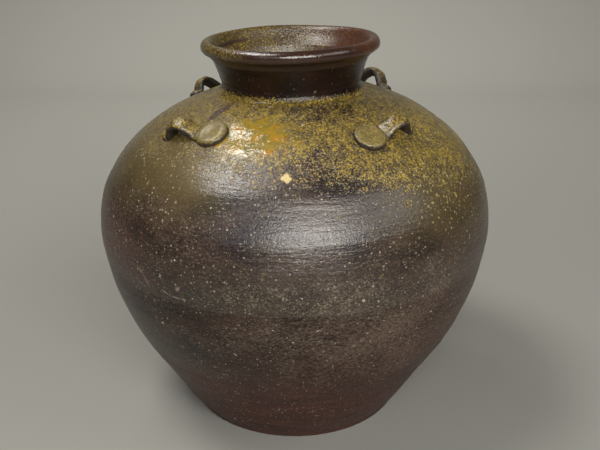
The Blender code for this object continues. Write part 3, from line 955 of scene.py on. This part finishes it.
def shoulder_seat(ring_radius, direction, tilt):
    """The lug's frame on the shoulder, x round the jar and z out of it, and how far z leans outwards."""
    radius, height = body_point(shoulder_height(ring_radius), 0)
    normal = Vector((1, 0, -body_slope(height))).normalized()
    round_jar = Vector((0, 1, 0))
    axes = Matrix((round_jar, normal.cross(round_jar), normal)).transposed().to_4x4()
    turn = Matrix.Rotation(math.radians(direction), 4, "Z")
    place = Matrix.Translation((radius, 0, height))
    return turn @ place @ axes @ Matrix.Rotation(math.radians(tilt), 4, "Z"), normal.x


def end_disc(middle, radius, depth, arc):
    """(along, level, half width, half depth) of the loops across a lug's rounded end."""
    start, end = (math.radians(a) for a in arc)
    return [
        (
            middle - radius * math.cos(a),
            0,
            radius * math.sin(a),
            depth * (END_DEPTH_SHARE + (1 - END_DEPTH_SHARE) * min(END_FULLNESS * math.sin(a), 1)),
        )
        for a in spaced(start, end, END_STEP)
    ]


def lug_places(half, arch_share, thickness, curve):
    """(along, level, half width, half depth) of each loop, from the heel over the arch to the pad.

    The shoulder falls away from the lug's middle by curve times the square of the distance.
    """
    crest = LUG_CLEARANCE * arch_share + thickness / 2
    heel_middle = HEEL_RADIUS - half
    pad_middle = half - PAD_RADIUS
    way = pad_middle - PAD_RADIUS - heel_middle
    arch = []
    for t in spaced(0, len(ARCH_SHARES) - 1, len(ARCH_SHARES) * LUG_ROW / way):
        along, rise = smooth_curve(ARCH_SHARES, t)
        near_pad = max(1 - (1 - along) * way / PAD_RADIUS / SPREAD_LENGTH, 0) ** 2
        wide = STRAP_WIDTH / 2 + (PAD_RADIUS * SPREAD_WIDTH - STRAP_WIDTH / 2) * near_pad
        arch.append((heel_middle + way * along, crest * rise, wide, thickness / 2))
    heel = end_disc(heel_middle, HEEL_RADIUS, HEEL_DEPTH, HEEL_ARC)
    pad = end_disc(pad_middle, PAD_RADIUS, PAD_DEPTH, PAD_ARC)
    return [
        (along, level - curve * along ** 2, wide, deep) for along, level, wide, deep in heel + arch + pad
    ]


def lug_loops(bm, places, pad_side, pad_middle):
    """Bridged loops along the strap. The pad's own loops are squarer, so that it is flat on top."""
    last = len(places) - 1
    rings = []
    for k, (along, level, wide, deep) in enumerate(places):
        before, after = places[max(k - 1, 0)], places[min(k + 1, last)]
        climb = math.atan((after[1] - before[1]) / (after[0] - before[0])) * pad_side
        section = (
            Matrix.Translation((along * pad_side, 0, level))
            @ Matrix.Rotation(math.pi / 2 - climb, 4, "Y")
        )
        on_pad = min(max((along - pad_middle) / PAD_RADIUS + 1, 0), 1)
        power = STRAP_POWER + PAD_EXTRA_POWER * on_pad
        circle = bmesh.ops.create_circle(bm, segments=LUG_SIDES, radius=1)
        for vert in circle["verts"]:
            across = min(abs(vert.co.y), 1)
            thick = 0 if across > SECTION_EDGE else (1 - across ** power) ** (1 / power)
            vert.co = section @ Vector((math.copysign(thick, vert.co.x) * deep, vert.co.y * wide, 0))
        rings.append(list({edge for vert in circle["verts"] for edge in vert.link_edges}))
    for a, b in zip(rings, rings[1:]):
        bmesh.ops.bridge_loops(bm, edges=a + b)
    bmesh.ops.contextual_create(bm, geom=rings[0])
    bmesh.ops.contextual_create(bm, geom=rings[-1])
    bmesh.ops.recalc_face_normals(bm, faces=bm.faces)


def press_and_crust(bm, thumb, seed, relief):
    """Presses the thumb's dimple into the pad and roughens the strap. Marks the pad and what faces up."""
    proud = bm.verts.layers.float.new("proud")
    pressed = bm.verts.layers.float.new("pressed")
    bm.normal_update()
    moves = []
    for vert in bm.verts:
        reach = math.hypot(vert.co.x - thumb, vert.co.y) / PAD_RADIUS
        dimple = THUMB_DIMPLE * math.exp(-DIMPLE_FALL * reach * reach) if vert.normal.z > 0 else 0
        shift = Vector((seed, 0, 0))
        lumps = noise.noise(vert.co * LUMPS + shift)
        crumbs = noise.noise(vert.co * CRUMBS + shift)
        on_strap = min(max(reach - CRUST_START, 0) * CRUST_RISE, 1)
        rough = relief * (lumps + CRUMB_SHARE * crumbs) * (PAD_RELIEF + (1 - PAD_RELIEF) * on_strap)
        moves.append(vert.normal * rough - Vector((0, 0, dimple)))
        # How far the point faces up; the lugs' glaze leaves what faces sideways or down near-black, partly
        # as painted shade.
        vert[proud] = min(max(vert.normal.z, 0), 1)
        vert[pressed] = 1 - on_strap
    for vert, move in zip(bm.verts, moves):
        vert.co += move


class JAR_OT_lugs(bpy.types.Operator):
    """Makes the four pressed lugs"""
    bl_idname = "jar.lugs"
    bl_label = "Lugs"

    def execute(self, context):
        sizes = context.scene.jar_sizes
        finish = lug_glaze()
        for node, direction, pad_side, tilt, ring_share, length_share, arch_share, thick_share, seed in LUGS:
            ring_radius = BODY_RADIUS * ring_share
            place, lean_out = shoulder_seat(ring_radius, direction, tilt)
            half = LUG_HALF_LENGTH * length_share
            pad_middle = half - PAD_RADIUS
            bm = bmesh.new()
            thickness = STRAP_THICKNESS * thick_share
            places = lug_places(half, arch_share, thickness, lean_out / (2 * ring_radius))
            lug_loops(bm, places, pad_side, pad_middle)
            press_and_crust(bm, pad_side * pad_middle, seed, sizes.crust_relief)
            bmesh.ops.transform(bm, matrix=place, verts=bm.verts)
            for vert in bm.verts:
                vert.co = settled(vert.co, sizes)
            mesh = bpy.data.meshes.new(f"{node}_skin")
            bm.to_mesh(mesh)
            bm.free()
            piece = dressed(mesh, f"{node}_skin", node, "ash_glazed_lug", finish)
            smooth = piece.modifiers.new("melted", "SUBSURF")
            smooth.levels = 1
            smooth.render_levels = 1
        return {"FINISHED"}


def lamp(name, azimuth, elevation, distance, size, power, tint, behind=0.0, spread=180):
    """A soft lamp of this width and height, placed by an azimuth counted from the camera's.

    It looks at the jar, or at a point this far behind it, and shines this many degrees wide.
    """
    light = bpy.data.lights.new(name, "AREA")
    light.shape = "RECTANGLE"
    light.size, light.size_y = size
    light.energy = power
    light.color = linear(tint)
    light.spread = math.radians(spread)
    turn = FRONT + math.radians(azimuth)
    rise = math.radians(elevation)
    way = Vector((math.sin(turn) * math.cos(rise), -math.cos(turn) * math.cos(rise), math.sin(rise)))
    holder = bpy.data.objects.new(name, light)
    away = Vector((-math.sin(FRONT), math.cos(FRONT), 0))
    holder.location = Vector((0, 0, AIM_HEIGHT)) + away * behind + way * distance
    holder.rotation_euler = (-way).to_track_quat("-Z", "Y").to_euler()
    bpy.context.scene.collection.objects.link(holder)


class JAR_OT_stage(bpy.types.Operator):
    """Sets the paper sweep, the lamps and the camera"""
    bl_idname = "jar.stage"
    bl_label = "Stage"

    def execute(self, context):
        scene = context.scene
        # A sweep of paper, flat under the jar, that curves up far enough back not to hide it from behind.
        bend, start, reach, wall_top = 0.4, 1.1, 4.5, 2.6
        lead, step = 0.2, 0.05
        profile = [(-reach, 0), (start - lead, 0)]
        profile += [
            (start + bend * math.sin(a), bend * (1 - math.cos(a))) for a in spaced(0, math.pi / 2, step)
        ]
        profile += [(start + bend, wall_top)]
        bm = bmesh.new()
        verts = [bm.verts.new((-reach, y, z)) for y, z in profile]
        edges = [bm.edges.new((a, b)) for a, b in zip(verts, verts[1:])]
        made = bmesh.ops.extrude_edge_only(bm, edges=edges)
        moved = [item for item in made["geom"] if isinstance(item, bmesh.types.BMVert)]
        bmesh.ops.translate(bm, vec=(2 * reach, 0, 0), verts=moved)
        bmesh.ops.rotate(bm, cent=(0, 0, 0), matrix=Matrix.Rotation(FRONT, 3, "Z"), verts=bm.verts)
        bmesh.ops.recalc_face_normals(bm, faces=bm.faces)
        mesh = bpy.data.meshes.new("paper_sweep")
        bm.to_mesh(mesh)
        bm.free()
        mesh.shade_smooth()
        paper = bpy.data.materials.new("matt_backdrop_paper")
        paper.use_nodes = True
        shader = paper.node_tree.nodes["Principled BSDF"]
        shader.inputs["Base Color"].default_value = paint("backdrop")
        shader.inputs["Roughness"].default_value = 0.9
        shader.inputs["Specular IOR Level"].default_value = 0.1
        mesh.materials.append(paper)
        sweep = bpy.data.objects.new("paper_sweep", mesh)
        scene.collection.objects.link(sweep)

        world = bpy.data.worlds.new("soft_room_light")
        world.use_nodes = True
        sky = world.node_tree.nodes["Background"]
        sky.inputs["Color"].default_value = hexa("#f2efe8")
        sky.inputs["Strength"].default_value = 0.09
        scene.world = world
        lamp("front_window", 10, 30, 1.5, (1.0, 0.5), 22, "#fffdf8")
        lamp("right_window", 62, 37, 1.5, (0.8, 0.6), 4.0, "#fffdf8")
        lamp("overhead_lamp", -79, 65, 1.4, (0.6, 0.45), 13, "#fffcf6")
        lamp("back_lamp", -147, 57, 1.4, (0.28, 0.2), 1.8, "#fffdf8")
        lamp("left_window", -34, 30, 2.0, (0.6, 0.5), 2.0, "#dfe8ff")
        # Lights the paper behind the jar. It also reaches the back of the shoulder.
        lamp("paper_lamp", 0, 75, 1.5, (1.6, 0.3), 5.2, "#fffdf8", behind=1.15, spread=80)

        camera = bpy.data.cameras.new("photo_camera")
        camera.lens = CAMERA_LENS
        camera.clip_start = 0.01
        eye = bpy.data.objects.new("photo_camera", camera)
        flat = math.cos(CAMERA_ELEVATION)
        back = Vector((math.sin(FRONT) * flat, -math.cos(FRONT) * flat, math.sin(CAMERA_ELEVATION)))
        aim = Vector((0, 0, AIM_HEIGHT)) + RIGHT * AIM_RIGHT
        eye.location = aim + back * CAMERA_DISTANCE
        eye.rotation_euler = (-back).to_track_quat("-Z", "Y").to_euler()
        scene.collection.objects.link(eye)
        scene.camera = eye
        scene.view_settings.view_transform = "Standard"
        return {"FINISHED"}


class JAR_PT_pieces(bpy.types.Panel):
    """Lists the jar's sizes, colours and pieces"""
    bl_idname = "JAR_PT_pieces"
    bl_label = "Tea storage jar"
    bl_space_type = "VIEW_3D"
    bl_region_type = "UI"
    bl_category = "Jar"

    def draw(self, context):
        for group in (context.scene.jar_sizes, context.scene.jar_colours):
            for name in group.bl_rna.properties.keys():
                if name not in ("rna_type", "name"):
                    self.layout.prop(group, name)
        for operator in OPERATORS:
            self.layout.operator(operator.bl_idname)


OPERATORS = (JAR_OT_base_slab, JAR_OT_body, JAR_OT_neck, JAR_OT_rim, JAR_OT_lugs, JAR_OT_stage)
CLASSES = (JarSizes, JarColours, *OPERATORS, JAR_PT_pieces)


def register():
    for item in CLASSES:
        bpy.utils.register_class(item)
    bpy.types.Scene.jar_sizes = PointerProperty(type=JarSizes)
    bpy.types.Scene.jar_colours = PointerProperty(type=JarColours)


def unregister():
    del bpy.types.Scene.jar_sizes
    del bpy.types.Scene.jar_colours
    for item in reversed(CLASSES):
        bpy.utils.unregister_class(item)


def main():
    register()
    bpy.ops.jar.stage()
    bpy.ops.jar.base_slab()
    bpy.ops.jar.body()
    bpy.ops.jar.neck()
    bpy.ops.jar.rim()
    bpy.ops.jar.lugs()


if __name__ == "__main__":
    main()
